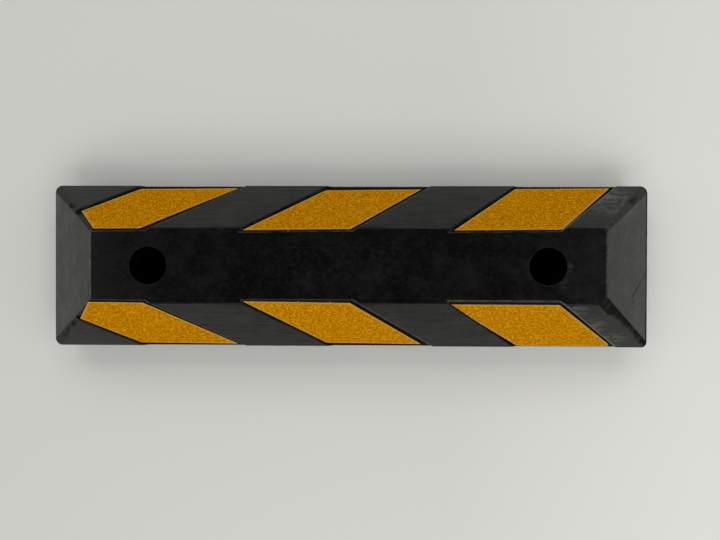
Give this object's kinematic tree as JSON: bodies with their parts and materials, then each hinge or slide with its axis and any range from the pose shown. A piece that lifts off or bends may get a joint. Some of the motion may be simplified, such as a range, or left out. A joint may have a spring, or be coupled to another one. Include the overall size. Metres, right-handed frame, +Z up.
{
  "type": "rubber wheel stop",
  "caption": "Low rubber wheel stop for a parking bay: a flat-topped block with sloped sides, slanted yellow reflective panels set into its long slopes, and stepped bolt holes through the top.",
  "frame": {"origin": "middle of the footprint, on the ground", "axes": "+X along the stop, +Y across it from the front slope to the back slope, +Z up"},
  "size_m": [0.55, 0.15, 0.1],
  "materials": {
    "black_rubber": "moulded, dull, slightly dusty",
    "reflective_yellow": "glass-bead reflective face, fine grain"
  },
  "bodies": {
    "root": {"rubber_body": "black_rubber", "reflective_panel_front_left": "reflective_yellow", "reflective_panel_front_middle": "reflective_yellow", "reflective_panel_front_right": "reflective_yellow", "reflective_panel_back_left": "reflective_yellow", "reflective_panel_back_middle": "reflective_yellow", "reflective_panel_back_right": "reflective_yellow"}
  },
  "joints": []
}
